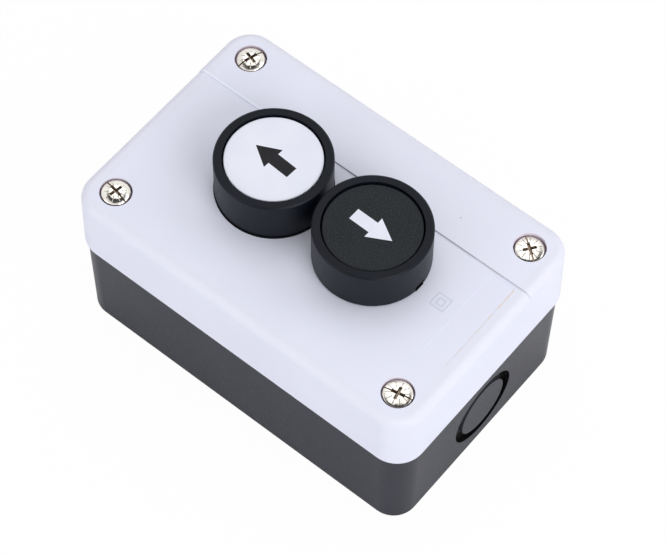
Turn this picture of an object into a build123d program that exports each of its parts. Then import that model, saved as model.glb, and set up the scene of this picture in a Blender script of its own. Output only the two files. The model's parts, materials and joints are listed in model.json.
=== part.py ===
from build123d import *
import os

os.makedirs("parts", exist_ok=True)

# Two-button control station for wall mounting, in millimetres.
# Origin at the centre of the back face, +Z out of the wall, +Y the way the upper arrow points.

# Enclosure
case_length = 104.8
case_width = 68.0
corner_radius = 7.7
wall = 2.5
floor_thickness = 2.5
base_height = 30.6
cover_height = 19.0
seam_gap = 0.3
cover_overhang = 0.7
base_draft = 0.7
cover_draft = 0.9
base_edge_radius = 0.8
cover_edge_radius = 2.4

# Sealed joint between base and cover
tongue_height = 2.2
skirt_inset = 1.3
tongue_clearance = 0.15
gasket_clearance = 0.05
gasket_thickness = 0.8

# Cover screws and the pillars that take them
screw_edge_x = 8.45
screw_edge_y = 8.6
screw_radius = 2.0
screw_head_radius = 3.7
screw_head_height = 2.4
screw_head_sink = 0.05
screw_slot_width = 1.0
screw_slot_depth = 1.2
screw_head_chamfer = 0.3
screw_head_clearance = 0.4
screw_clearance = 0.2
pillar_radius = 5.9
tube_wall = 1.5
tube_web = 2.0
web_overlap = 0.5
insert_wall = 0.8
insert_length = 8.0
insert_clearance = 0.03
thread_clearance = 0.05
screw_tail_depth = 6.0

# Wall fixing and cable entries
fixing_edge_x = 7.0
fixing_edge_y = 18.4
fixing_hole_radius = 2.15
fixing_boss_radius = 4.2
fixing_boss_height = 1.2
fixing_pad_margin = 1.0
back_land = 5.0
back_recess = 0.6
knockout_radius = 10.8
knockout_groove = 2.6
knockout_web = 0.5
knockout_disc_sink = 0.25

# Raised ledge along the cover's right side, and the bare label field at its lower end
ledge_margin = 0.18
ledge_height = 0.4
label_margin = 0.85
label_width = 6.9
label_corner = 0.8
label_depth = 0.1
label_edge = 7.85

# Push-button heads
buttons_centre_y = -0.3
bezel_radius = 14.67
bezel_gap = 1.16
bezel_wall = 2.17
bezel_floor = 2.5
bezel_chamfer = 0.4
bezel_notch_width = 2.8
bezel_notch_depth = 0.9
barrel_radius = 10.9
barrel_wall = 2.0
barrel_clearance = 0.25
barrel_floor = 2.0
barrel_run_out = 5.5
head_gasket_thickness = 0.6
upper_gasket_lip = 0.2
lower_gasket_lip = -0.4
head_gasket_clearance = 0.15
nut_wall = 2.9
nut_thickness = 5.0
nut_notches = 8
nut_notch_width = 3.0
nut_notch_depth = 1.0
cap_gap = 0.38
cap_height = 4.8
cap_sink = 0.5
cap_top_thickness = 1.8
cap_skirt = 1.5
cap_edge_radius = 0.25
button_travel = 4.3
end_clearance = 0.3
running_clearance = 0.08

# Plunger and return spring of a head
plunger_disc_thickness = 2.6
plunger_disc_clearance = 0.05
guide_length = 10.0
guide_wall = 1.2
stem_radius = 4.0
seal_wall = 1.0
seal_height = 1.2
return_spring_clearance = 0.5
return_spring_wire = 0.8
return_spring_turns = 4
spring_wire_sides = 4

# Arrows in the caps
arrow_length = 11.8
arrow_head_length = 5.8
arrow_head_width = 6.6
arrow_shaft_width = 3.4
arrow_depth = 0.8
upper_arrow_angle = -3.5
lower_arrow_angle = 179.0

# Contact blocks on the floor of the base
block_length = 36.0
block_width = 11.0
block_height = 20.0
block_wall = 1.2
block_floor = 1.5
lid_thickness = 2.0
deck_height = 8.5
well_length = 19.0
screw_well_spare = 0.7
wire_window_width = 5.2
wire_window_height = 4.2
notch_clearance = 0.3
notch_depth = 0.7
notch_height = 3.0
notch_bottom = 7.0
rail_thickness = 1.2
rail_height = 4.0
rail_length = 30.0
rail_clearance = 0.15
catch_width = 6.0
catch_reach = 0.6

# Contacts
strip_thickness = 0.8
strip_width = 4.8
strip_tip_margin = 0.2
tip_radius = 1.2
tip_height = 0.5
tip_position = 6.6
contact_travel = 2.6
contact_rest_gap = 0.1
bridge_tip_margin = 0.4
bridge_width = 3.2
bridge_thickness = 0.6
bridge_tip_height = 0.4
terminal_screw_radius = 1.7
terminal_head_radius = 2.8
terminal_head_height = 2.0
terminal_screw_depth = 3.8
terminal_slot_width = 0.9
terminal_access_clearance = 0.3
clamp_size = 6.0
clamp_thickness = 0.8
clamp_gap = 0.3

# Pusher of a contact block
pusher_length = 5.0
pusher_wall = 1.2
pusher_roof = 1.8
pusher_stem_radius = 2.4
pusher_spare = 1.2
window_clearance = 0.3
window_seat_gap = 0.05
pusher_foot = 3.0
contact_spring_radius = 1.25
contact_spring_wire = 0.3
contact_spring_turns = 3
pusher_spring_radius = 2.0
pusher_spring_wire = 0.45
pusher_spring_turns = 4

# Sizes and places on the enclosure that follow from the ones above
screw_spacing_x = case_width - 2 * screw_edge_x
screw_spacing_y = case_length - 2 * screw_edge_y
fixing_spacing_x = case_width - 2 * fixing_edge_x
fixing_spacing_y = case_length - 2 * fixing_edge_y
tongue_inset = skirt_inset + tongue_clearance
gasket_inset = skirt_inset + gasket_clearance
screw_hole_radius = screw_radius + screw_clearance
counterbore_radius = screw_head_radius + screw_head_clearance
tube_radius = counterbore_radius + tube_wall
insert_radius = screw_radius + insert_wall
knockout_disc_radius = knockout_radius - knockout_groove
ledge_edge = bezel_radius + upper_gasket_lip + ledge_margin
label_length = 2 * (ledge_edge - label_margin)
label_centre_y = label_edge - case_length / 2

# Heights of the enclosure
base_inset = cover_overhang + wall
cover_bottom = base_height + seam_gap
cover_top = cover_bottom + cover_height
ceiling = cover_top - wall
ledge_top = cover_top + ledge_height
tongue_top = base_height + tongue_height
rebate_top = tongue_top + gasket_thickness
screw_top = cover_top - screw_head_sink
screw_seat = screw_top - screw_head_height
insert_bottom = base_height - insert_length

# Heights of a head
bezel_bottom = cover_top + head_gasket_thickness
cavity_floor = bezel_bottom + bezel_floor
cap_bottom = cavity_floor + end_clearance + button_travel
cap_top = cap_bottom + cap_height
bezel_top = cap_top + cap_sink
barrel_bottom = ceiling - nut_thickness - barrel_run_out
barrel_seat = barrel_bottom + barrel_floor
cap_ceiling = cap_top - cap_top_thickness
disc_bottom = cap_ceiling - plunger_disc_thickness
spring_seat = disc_bottom - guide_wall

# Radii of a head, from the bezel and the barrel inwards
cavity_radius = bezel_radius - bezel_wall
cap_radius = cavity_radius - cap_gap
head_hole_radius = barrel_radius + barrel_clearance
head_gasket_inner_radius = head_hole_radius + head_gasket_clearance
nut_radius = barrel_radius + nut_wall
bore_radius = barrel_radius - barrel_wall
guide_radius = bore_radius - running_clearance
seal_radius = stem_radius + seal_wall
return_spring_radius = seal_radius + return_spring_clearance + return_spring_wire / 2

# Heights of a contact block
block_bottom = floor_thickness
block_inside = block_bottom + block_floor
deck = block_bottom + deck_height
block_top = block_bottom + block_height
lid_top = block_top + lid_thickness
pusher_top = lid_top + button_travel + pusher_spare
plunger_bottom = pusher_top + end_clearance
strip_top = deck + strip_thickness
contact_top = strip_top + tip_height
bridge_bottom = contact_top + contact_travel + contact_rest_gap
bridge_strip_bottom = bridge_bottom + bridge_tip_height
bridge_top = bridge_strip_bottom + bridge_thickness
window_bottom = bridge_strip_bottom - window_seat_gap
pusher_bottom = window_bottom - pusher_foot
pusher_shoulder = block_top - end_clearance
window_top = pusher_shoulder - pusher_roof
clamp_bottom = strip_top + clamp_gap
clamp_top = clamp_bottom + clamp_thickness

# Lengths and widths in a contact block
strip_inner_end = tip_position - tip_radius - strip_tip_margin
strip_outer_end = block_length / 2 - block_wall - clamp_gap
bridge_length = 2 * (tip_position + tip_radius + bridge_tip_margin)
terminal_position = strip_outer_end - clamp_size / 2
terminal_access_radius = terminal_head_radius + terminal_access_clearance
screw_well_depth = terminal_screw_depth + screw_well_spare
window_width = bridge_width + 2 * window_clearance
pusher_width = window_width + 2 * pusher_wall
notch_width = catch_width + 2 * notch_clearance

# Each head, with the middle of its button on the cover
button_pitch = 2 * bezel_radius + bezel_gap
head_centres = {
    "upper": buttons_centre_y + button_pitch / 2,
    "lower": buttons_centre_y - button_pitch / 2,
}
arrow_angles = {"upper": upper_arrow_angle, "lower": lower_arrow_angle}
gasket_lips = {"upper": upper_gasket_lip, "lower": lower_gasket_lip}


def case_outline(inset, mode=Mode.ADD):
    # The outline of the cover's rim, drawn in by an even distance
    width = case_width - 2 * inset
    length = case_length - 2 * inset
    RectangleRounded(width, length, corner_radius - inset, mode=mode)


def rounded_block(height):
    # The cover's outside up to a height, drafted and rounded at its upper edge
    with BuildPart() as block:
        with BuildSketch(Plane.XY.offset(cover_bottom)):
            case_outline(0)
        extrude(amount=height, taper=cover_draft)
        fillet(block.faces().sort_by(Axis.Z)[-1].edges(), cover_edge_radius)
    return block.part


def at_height(centre_y, height):
    # A level plane over the middle of a head
    return Plane((0, centre_y, height))


def arrow(centre_y, height, angle):
    # The arrow's outline, turned about the middle of the cap
    half_head = arrow_head_width / 2
    half_shaft = arrow_shaft_width / 2
    tip = arrow_length / 2
    neck = tip - arrow_head_length
    with BuildSketch(at_height(centre_y, height)) as outline:
        with Locations(Rotation(0, 0, angle)):
            Polygon(
                (0, tip),
                (half_head, neck),
                (half_shaft, neck),
                (half_shaft, -tip),
                (-half_shaft, -tip),
                (-half_shaft, neck),
                (-half_head, neck),
                align=None,
            )
    return outline


def coil(centre_y, bottom, top, radius, wire, turns):
    # A helical wire that fills the height between its two seats, faceted to keep it light
    height = top - bottom - wire
    with BuildPart() as spring:
        with BuildLine(at_height(centre_y, bottom + wire / 2)) as path:
            Helix(pitch=height / turns, height=height, radius=radius)
        with BuildSketch(Plane(path.line @ 0, z_dir=path.line % 0)):
            RegularPolygon(wire / 2, spring_wire_sides)
        sweep(path=path.line, is_frenet=True)
    return spring


# Base: tub with pillars, cable entries, fixing holes and seats for the contact blocks
with BuildPart() as rear_case:
    with BuildSketch(Plane.XY.offset(base_height)):
        case_outline(cover_overhang)
    extrude(amount=-base_height, taper=base_draft)
    fillet(rear_case.faces().sort_by(Axis.Z)[0].edges(), base_edge_radius)

    with BuildSketch(Plane.XY.offset(base_height)):
        case_outline(base_inset)
    extrude(amount=floor_thickness - base_height, mode=Mode.SUBTRACT)

    with BuildSketch(Plane.XY.offset(floor_thickness)):
        with GridLocations(screw_spacing_x, screw_spacing_y, 2, 2):
            Circle(pillar_radius)
    extrude(amount=base_height - floor_thickness)

    with BuildSketch(Plane.XY.offset(base_height)):
        case_outline(tongue_inset)
        case_outline(wall, mode=Mode.SUBTRACT)
    extrude(amount=tongue_height)

    with Locations((0, 0, base_height)):
        with GridLocations(screw_spacing_x, screw_spacing_y, 2, 2):
            CounterBoreHole(
                radius=screw_hole_radius,
                counter_bore_radius=insert_radius + insert_clearance,
                counter_bore_depth=insert_length,
                depth=insert_length + screw_tail_depth,
            )

    # Shallow field in the back face, so that the box stands on its rim and its four holes
    with BuildSketch(Plane.XY):
        case_outline(cover_overhang + back_land)
        with GridLocations(fixing_spacing_x, fixing_spacing_y, 2, 2):
            Circle(fixing_boss_radius + fixing_pad_margin, mode=Mode.SUBTRACT)
    extrude(amount=back_recess, mode=Mode.SUBTRACT)

    with BuildSketch(Plane.XY.offset(floor_thickness)):
        with GridLocations(fixing_spacing_x, fixing_spacing_y, 2, 2):
            Circle(fixing_boss_radius)
    extrude(amount=fixing_boss_height)
    with Locations((0, 0, floor_thickness + fixing_boss_height)):
        with GridLocations(fixing_spacing_x, fixing_spacing_y, 2, 2):
            Hole(fixing_hole_radius, depth=floor_thickness + fixing_boss_height)

    # Cable entries: a ring groove round a disc that is knocked out for the gland
    for end in (-1, 1):
        inner_face = end * (case_length / 2 - base_inset + knockout_web)
        disc_face = end * (case_length / 2 - cover_overhang - knockout_disc_sink)
        ring_plane = Plane((0, inner_face, base_height / 2), z_dir=(0, end, 0))
        disc_plane = Plane((0, disc_face, base_height / 2), z_dir=(0, end, 0))
        with BuildSketch(ring_plane):
            Circle(knockout_radius)
            Circle(knockout_disc_radius, mode=Mode.SUBTRACT)
        extrude(amount=wall, mode=Mode.SUBTRACT)
        with BuildSketch(disc_plane):
            Circle(knockout_radius)
        extrude(amount=wall, mode=Mode.SUBTRACT)

    # Rails and catches that hold each contact block
    for centre_y in head_centres.values():
        rail_offset = block_width + 2 * rail_clearance + rail_thickness
        catch_top = floor_thickness + notch_bottom + notch_height - rail_clearance
        with BuildSketch(at_height(centre_y, floor_thickness)):
            with GridLocations(0, rail_offset, 1, 2):
                Rectangle(rail_length, rail_thickness)
        extrude(amount=rail_height)
        with BuildSketch(at_height(centre_y, floor_thickness)):
            with GridLocations(0, rail_offset, 1, 2):
                Rectangle(catch_width, rail_thickness)
        extrude(amount=catch_top - floor_thickness)
        # The nose of each catch, a wedge that points into the block's side notch
        for side in (-1, 1):
            face = centre_y + side * (block_width / 2 + rail_clearance)
            nose = face - side * (rail_clearance + catch_reach)
            nose_bottom = floor_thickness + notch_bottom + rail_clearance
            with BuildSketch(Plane.YZ.offset(-catch_width / 2)):
                Polygon((face, nose_bottom), (nose, nose_bottom), (face, catch_top), align=None)
            extrude(amount=catch_width)
rear_case.part.label = "rear_case"
export_step(rear_case.part, "parts/rear_case.step")

# Cover: drafted shell with a raised ledge, screw tubes and the two head holes
with BuildPart() as raised_ledge:
    add(rounded_block(cover_height + ledge_height))
    with BuildSketch(Plane.XY.offset(cover_bottom)):
        with Locations((ledge_edge, 0)):
            Rectangle(case_width, case_length, align=(Align.MIN, Align.CENTER))
    extrude(amount=cover_height + ledge_height, mode=Mode.INTERSECT)

with BuildPart() as cover:
    add(rounded_block(cover_height))
    add(raised_ledge.part)

    with BuildSketch(Plane.XY.offset(cover_bottom)):
        case_outline(wall)
    extrude(amount=cover_height - wall, mode=Mode.SUBTRACT)
    with BuildSketch(Plane.XY.offset(cover_bottom)):
        case_outline(skirt_inset)
    extrude(amount=rebate_top - cover_bottom, mode=Mode.SUBTRACT)

    with BuildSketch(Plane.XY.offset(cover_bottom)):
        with GridLocations(screw_spacing_x, screw_spacing_y, 2, 2):
            Circle(tube_radius)
    extrude(amount=ceiling - cover_bottom)
    web_x = case_width / 2 - wall + web_overlap - screw_spacing_x / 2
    web_y = case_length / 2 - wall + web_overlap - screw_spacing_y / 2
    with BuildSketch(Plane.XY.offset(rebate_top)):
        with GridLocations(screw_spacing_x + web_x, screw_spacing_y, 2, 2):
            Rectangle(web_x, tube_web)
        with GridLocations(screw_spacing_x, screw_spacing_y + web_y, 2, 2):
            Rectangle(tube_web, web_y)
    extrude(amount=ceiling - rebate_top)

    with BuildSketch(Plane((0, label_centre_y, cover_top))):
        RectangleRounded(label_length, label_width, label_corner)
    extrude(amount=-label_depth, mode=Mode.SUBTRACT)

    with Locations((0, 0, ledge_top)):
        with GridLocations(screw_spacing_x, screw_spacing_y, 2, 2):
            CounterBoreHole(
                radius=screw_hole_radius,
                counter_bore_radius=counterbore_radius,
                counter_bore_depth=ledge_top - screw_seat,
            )
    with Locations(*[(0, centre_y, cover_top) for centre_y in head_centres.values()]):
        Hole(head_hole_radius)
cover.part.label = "cover"
export_step(cover.part, "parts/cover.step")

# Gasket between the base's tongue and the cover's rebate
with BuildPart() as cover_gasket:
    with BuildSketch(Plane.XY.offset(tongue_top)):
        case_outline(gasket_inset)
        case_outline(wall, mode=Mode.SUBTRACT)
    extrude(amount=gasket_thickness)
cover_gasket.part.label = "cover_gasket"
export_step(cover_gasket.part, "parts/cover_gasket.step")

# Four cover screws with slotted heads
with BuildPart() as cover_screws:
    with BuildSketch(Plane.XY.offset(screw_seat)):
        with GridLocations(screw_spacing_x, screw_spacing_y, 2, 2):
            Circle(screw_head_radius)
    extrude(amount=screw_head_height)
    chamfer(cover_screws.faces().sort_by(Axis.Z)[-4:].edges(), screw_head_chamfer)
    with BuildSketch(Plane.XY.offset(screw_top)):
        with GridLocations(screw_spacing_x, screw_spacing_y, 2, 2):
            Rectangle(screw_slot_width, 2 * screw_head_radius)
    extrude(amount=-screw_slot_depth, mode=Mode.SUBTRACT)
    with BuildSketch(Plane.XY.offset(screw_seat)):
        with GridLocations(screw_spacing_x, screw_spacing_y, 2, 2):
            Circle(screw_radius)
    extrude(amount=insert_bottom - screw_seat)
cover_screws.part.label = "cover_screws"
export_step(cover_screws.part, "parts/cover_screws.step")

# Four brass thread inserts in the tops of the pillars
with BuildPart() as screw_inserts:
    with BuildSketch(Plane.XY.offset(base_height)):
        with GridLocations(screw_spacing_x, screw_spacing_y, 2, 2):
            Circle(insert_radius)
            Circle(screw_radius + thread_clearance, mode=Mode.SUBTRACT)
    extrude(amount=-insert_length)
screw_inserts.part.label = "screw_inserts"
export_step(screw_inserts.part, "parts/screw_inserts.step")


def build_head(head, centre_y):
    # Bezel and threaded barrel in one moulding, open at the top for the cap
    with BuildPart() as head_body:
        with BuildSketch(at_height(centre_y, bezel_bottom)):
            Circle(bezel_radius)
        extrude(amount=bezel_top - bezel_bottom)
        chamfer(head_body.faces().sort_by(Axis.Z)[-1].edges(), bezel_chamfer)
        with BuildSketch(at_height(centre_y, bezel_bottom)):
            Circle(barrel_radius)
        extrude(amount=barrel_bottom - bezel_bottom)
        with Locations((0, centre_y, bezel_top)):
            Hole(cavity_radius, depth=bezel_top - cavity_floor)
            Hole(bore_radius, depth=bezel_top - barrel_seat)
            Hole(stem_radius + running_clearance)
        # Drain notch in the foot of the bezel, at its lower side
        with BuildSketch(Plane((0, centre_y - bezel_radius, bezel_bottom))):
            Rectangle(bezel_notch_width, 2 * bezel_notch_depth)
        extrude(amount=bezel_notch_depth, mode=Mode.SUBTRACT)
    head_body.part.label = f"{head}_head_body"
    export_step(head_body.part, f"parts/{head}_head_body.step")

    # Flat gasket under the bezel: the upper one shows beyond it, the lower one doesn't
    with BuildPart() as head_gasket:
        with BuildSketch(at_height(centre_y, cover_top)):
            Circle(bezel_radius + gasket_lips[head])
            Circle(head_gasket_inner_radius, mode=Mode.SUBTRACT)
        extrude(amount=head_gasket_thickness)
    head_gasket.part.label = f"{head}_head_gasket"
    export_step(head_gasket.part, f"parts/{head}_head_gasket.step")

    # Ring nut that clamps the head from inside the cover
    with BuildPart() as head_nut:
        with BuildSketch(at_height(centre_y, ceiling)):
            Circle(nut_radius)
            with PolarLocations(nut_radius, nut_notches):
                Rectangle(2 * nut_notch_depth, nut_notch_width, mode=Mode.SUBTRACT)
            Circle(barrel_radius + thread_clearance, mode=Mode.SUBTRACT)
        extrude(amount=-nut_thickness)
    head_nut.part.label = f"{head}_head_nut"
    export_step(head_nut.part, f"parts/{head}_head_nut.step")

    # Rubber lip that seals the stem where it leaves the barrel
    with BuildPart() as stem_seal:
        with BuildSketch(at_height(centre_y, barrel_seat)):
            Circle(seal_radius)
            Circle(stem_radius + running_clearance, mode=Mode.SUBTRACT)
        extrude(amount=seal_height)
    stem_seal.part.label = f"{head}_stem_seal"
    export_step(stem_seal.part, f"parts/{head}_stem_seal.step")

    # Cap: a shallow cup, just under the bezel's rim, with a pocket for its arrow
    with BuildPart() as button_cap:
        with BuildSketch(at_height(centre_y, cap_bottom)):
            Circle(cap_radius)
        extrude(amount=cap_height)
        fillet(button_cap.faces().sort_by(Axis.Z)[-1].edges(), cap_edge_radius)
        with BuildSketch(at_height(centre_y, cap_bottom)):
            Circle(cap_radius - cap_skirt)
        extrude(amount=cap_ceiling - cap_bottom, mode=Mode.SUBTRACT)
        add(arrow(centre_y, cap_top, arrow_angles[head]).sketch)
        extrude(amount=-arrow_depth, mode=Mode.SUBTRACT)
    button_cap.part.label = f"{head}_button_cap"
    export_step(button_cap.part, f"parts/{head}_button_cap.step")

    # Arrow of the second colour, moulded into the cap
    with BuildPart() as cap_arrow:
        add(arrow(centre_y, cap_top, arrow_angles[head]).sketch)
        extrude(amount=-arrow_depth)
    cap_arrow.part.label = f"{head}_arrow"
    export_step(cap_arrow.part, f"parts/{head}_arrow.step")

    # Plunger: disc in the cap, guide skirt in the barrel, and the stem that works the contacts
    with BuildPart() as plunger:
        with BuildSketch(at_height(centre_y, cap_ceiling)):
            Circle(cap_radius - cap_skirt - plunger_disc_clearance)
        extrude(amount=-plunger_disc_thickness)
        with BuildSketch(at_height(centre_y, disc_bottom)):
            Circle(guide_radius)
        extrude(amount=-guide_length)
        with BuildSketch(at_height(centre_y, spring_seat)):
            Circle(guide_radius - guide_wall)
        extrude(amount=guide_wall - guide_length, mode=Mode.SUBTRACT)
        with BuildSketch(at_height(centre_y, spring_seat)):
            Circle(stem_radius)
        extrude(amount=plunger_bottom - spring_seat)
        chamfer(plunger.faces().sort_by(Axis.Z)[0].edges(), end_clearance)
    plunger.part.label = f"{head}_plunger"
    export_step(plunger.part, f"parts/{head}_plunger.step")

    return_spring = coil(
        centre_y,
        barrel_seat,
        spring_seat,
        return_spring_radius,
        return_spring_wire,
        return_spring_turns,
    )
    return_spring.part.label = f"{head}_return_spring"
    export_step(return_spring.part, f"parts/{head}_return_spring.step")


def build_block(head, centre_y):
    # Housing: a trough with a well for the contacts and a deck for the terminals at each end
    chamber_width = block_width - 2 * block_wall
    with BuildPart() as housing:
        with BuildSketch(at_height(centre_y, block_bottom)):
            Rectangle(block_length, block_width)
        extrude(amount=block_height)
        fillet(housing.edges().filter_by(Axis.Z), block_wall / 2)
        with BuildSketch(at_height(centre_y, deck)):
            Rectangle(block_length - 2 * block_wall, chamber_width)
        extrude(amount=block_top - deck, mode=Mode.SUBTRACT)
        with BuildSketch(at_height(centre_y, block_inside)):
            Rectangle(well_length, chamber_width)
        extrude(amount=block_top - block_inside, mode=Mode.SUBTRACT)
        with Locations((0, centre_y, deck)):
            with GridLocations(2 * terminal_position, 0, 2, 1):
                Hole(terminal_screw_radius + end_clearance, depth=screw_well_depth)
        # A wire window in each end wall
        with BuildSketch(Plane((0, centre_y, strip_top + wire_window_height / 2), z_dir=(1, 0, 0))):
            Rectangle(wire_window_width, wire_window_height)
        extrude(amount=block_length / 2, both=True, mode=Mode.SUBTRACT)
        # A notch in each side wall for the catches of the base
        with BuildSketch(at_height(centre_y, block_bottom + notch_bottom)):
            with GridLocations(0, block_width, 1, 2):
                Rectangle(notch_width, 2 * notch_depth)
        extrude(amount=notch_height, mode=Mode.SUBTRACT)
    housing.part.label = f"{head}_contact_housing"
    export_step(housing.part, f"parts/{head}_contact_housing.step")

    with BuildPart() as lid:
        with BuildSketch(at_height(centre_y, block_top)):
            Rectangle(block_length, block_width)
        extrude(amount=lid_thickness)
        fillet(lid.edges().filter_by(Axis.Z), block_wall / 2)
        chamfer(lid.faces().sort_by(Axis.Z)[-1].edges(), block_wall / 4)
        with Locations((0, centre_y, lid_top)):
            Hole(pusher_stem_radius + running_clearance)
            with GridLocations(2 * terminal_position, 0, 2, 1):
                Hole(terminal_access_radius)
    lid.part.label = f"{head}_contact_lid"
    export_step(lid.part, f"parts/{head}_contact_lid.step")

    # Pusher: a stem over a frame whose window holds the bridge and its spring
    with BuildPart() as pusher:
        with BuildSketch(at_height(centre_y, pusher_bottom)):
            Rectangle(pusher_length, pusher_width)
        extrude(amount=pusher_shoulder - pusher_bottom)
        with BuildSketch(at_height(centre_y, window_bottom)):
            Rectangle(pusher_length, window_width)
        extrude(amount=window_top - window_bottom, mode=Mode.SUBTRACT)
        with BuildSketch(at_height(centre_y, pusher_shoulder)):
            Circle(pusher_stem_radius)
        extrude(amount=pusher_top - pusher_shoulder)
        chamfer(pusher.faces().sort_by(Axis.Z)[-1].edges(), end_clearance)
    pusher.part.label = f"{head}_contact_pusher"
    export_step(pusher.part, f"parts/{head}_contact_pusher.step")

    # Moving bridge with a contact tip under each end
    with BuildPart() as bridge:
        with BuildSketch(at_height(centre_y, bridge_strip_bottom)):
            Rectangle(bridge_length, bridge_width)
        extrude(amount=bridge_thickness)
        with BuildSketch(at_height(centre_y, bridge_strip_bottom)):
            with GridLocations(2 * tip_position, 0, 2, 1):
                Circle(tip_radius)
        extrude(amount=-bridge_tip_height)
    bridge.part.label = f"{head}_contact_bridge"
    export_step(bridge.part, f"parts/{head}_contact_bridge.step")

    # Two fixed contacts: flat strips on the decks, each with a tip and a tapped hole
    strip_length = strip_outer_end - strip_inner_end
    with BuildPart() as fixed_contacts:
        with BuildSketch(at_height(centre_y, deck)):
            with GridLocations(strip_outer_end + strip_inner_end, 0, 2, 1):
                Rectangle(strip_length, strip_width)
            with GridLocations(2 * terminal_position, 0, 2, 1):
                Circle(terminal_screw_radius + thread_clearance, mode=Mode.SUBTRACT)
        extrude(amount=strip_thickness)
        with BuildSketch(at_height(centre_y, strip_top)):
            with GridLocations(2 * tip_position, 0, 2, 1):
                Circle(tip_radius)
        extrude(amount=tip_height)
    fixed_contacts.part.label = f"{head}_fixed_contacts"
    export_step(fixed_contacts.part, f"parts/{head}_fixed_contacts.step")

    with BuildPart() as terminal_clamps:
        with BuildSketch(at_height(centre_y, clamp_bottom)):
            with GridLocations(2 * terminal_position, 0, 2, 1):
                RectangleRounded(clamp_size, clamp_size, clamp_thickness)
                Circle(terminal_screw_radius + running_clearance, mode=Mode.SUBTRACT)
        extrude(amount=clamp_thickness)
    terminal_clamps.part.label = f"{head}_terminal_clamps"
    export_step(terminal_clamps.part, f"parts/{head}_terminal_clamps.step")

    with BuildPart() as terminal_screws:
        with BuildSketch(at_height(centre_y, clamp_top)):
            with GridLocations(2 * terminal_position, 0, 2, 1):
                Circle(terminal_head_radius)
        extrude(amount=terminal_head_height)
        with BuildSketch(at_height(centre_y, clamp_top + terminal_head_height)):
            with GridLocations(2 * terminal_position, 0, 2, 1):
                Rectangle(terminal_slot_width, 2 * terminal_head_radius)
        extrude(amount=-terminal_slot_width, mode=Mode.SUBTRACT)
        with BuildSketch(at_height(centre_y, clamp_top)):
            with GridLocations(2 * terminal_position, 0, 2, 1):
                Circle(terminal_screw_radius)
        extrude(amount=deck - terminal_screw_depth - clamp_top)
    terminal_screws.part.label = f"{head}_terminal_screws"
    export_step(terminal_screws.part, f"parts/{head}_terminal_screws.step")

    contact_spring = coil(
        centre_y,
        bridge_top,
        window_top,
        contact_spring_radius,
        contact_spring_wire,
        contact_spring_turns,
    )
    contact_spring.part.label = f"{head}_contact_spring"
    export_step(contact_spring.part, f"parts/{head}_contact_spring.step")

    pusher_spring = coil(
        centre_y,
        block_inside,
        pusher_bottom,
        pusher_spring_radius,
        pusher_spring_wire,
        pusher_spring_turns,
    )
    pusher_spring.part.label = f"{head}_pusher_spring"
    export_step(pusher_spring.part, f"parts/{head}_pusher_spring.step")


for head, centre_y in head_centres.items():
    build_head(head, centre_y)
    build_block(head, centre_y)
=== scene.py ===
import json
import math

import bmesh
import bpy
from mathutils import Matrix, Quaternion, Vector

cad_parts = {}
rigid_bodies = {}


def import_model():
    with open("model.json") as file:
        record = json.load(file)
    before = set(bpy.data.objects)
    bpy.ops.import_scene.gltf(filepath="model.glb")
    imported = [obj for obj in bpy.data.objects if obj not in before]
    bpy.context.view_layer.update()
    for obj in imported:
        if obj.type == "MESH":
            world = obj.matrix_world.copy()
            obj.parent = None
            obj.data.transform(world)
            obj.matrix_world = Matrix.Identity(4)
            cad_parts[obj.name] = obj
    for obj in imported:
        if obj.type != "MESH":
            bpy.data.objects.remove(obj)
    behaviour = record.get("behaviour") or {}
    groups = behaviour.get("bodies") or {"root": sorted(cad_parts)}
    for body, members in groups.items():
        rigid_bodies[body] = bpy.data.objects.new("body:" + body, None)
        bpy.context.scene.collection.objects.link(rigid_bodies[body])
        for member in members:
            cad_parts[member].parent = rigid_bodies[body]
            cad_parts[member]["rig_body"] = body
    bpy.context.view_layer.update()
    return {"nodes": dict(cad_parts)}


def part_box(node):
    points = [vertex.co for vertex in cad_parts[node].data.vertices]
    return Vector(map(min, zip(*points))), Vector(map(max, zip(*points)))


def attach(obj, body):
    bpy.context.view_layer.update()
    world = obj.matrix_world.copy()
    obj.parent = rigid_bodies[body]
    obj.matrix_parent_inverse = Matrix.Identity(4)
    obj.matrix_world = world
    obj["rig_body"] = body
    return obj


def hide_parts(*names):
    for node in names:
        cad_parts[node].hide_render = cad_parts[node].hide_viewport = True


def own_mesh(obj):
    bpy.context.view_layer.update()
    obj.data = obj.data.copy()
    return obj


# Looks of a two-button control station that lies on its back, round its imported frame.
# Metres, +Z out of the cover, +Y the way the upper arrow points.
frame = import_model()
scene = bpy.context.scene
print("frame loaded:", len(frame["nodes"]), "nodes")

mm = 0.001
# the gasket under each bezel gives the button's middle along Y and the level of the cover's top
gasketBoxes = {head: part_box(f"{head}_head_gasket") for head in ("upper", "lower")}
heads = {head: (lowest.y + highest.y) / 2 for head, (lowest, highest) in gasketBoxes.items()}
panelTop = gasketBoxes["upper"][0].z
screwX, screwY = 25.55 * mm, 43.8 * mm  # the cover screws stand at plus and minus these
markCentre = (0.15 * mm, -36.6 * mm)  # of the double square on the cover


# Camera at the photographer's place

cameraView = {
    "place": (-0.27318, -0.21986, 0.60937),
    "target": (0.000324, -0.003496, 0.026063),
    "roll": 0.884,  # degrees, about the line of sight
    "lens": 147.45,  # this and the sensor's width in millimetres
    "sensor": 36.0,
    "nearest": 0.05,
    "farthest": 20.0,
}


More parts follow.
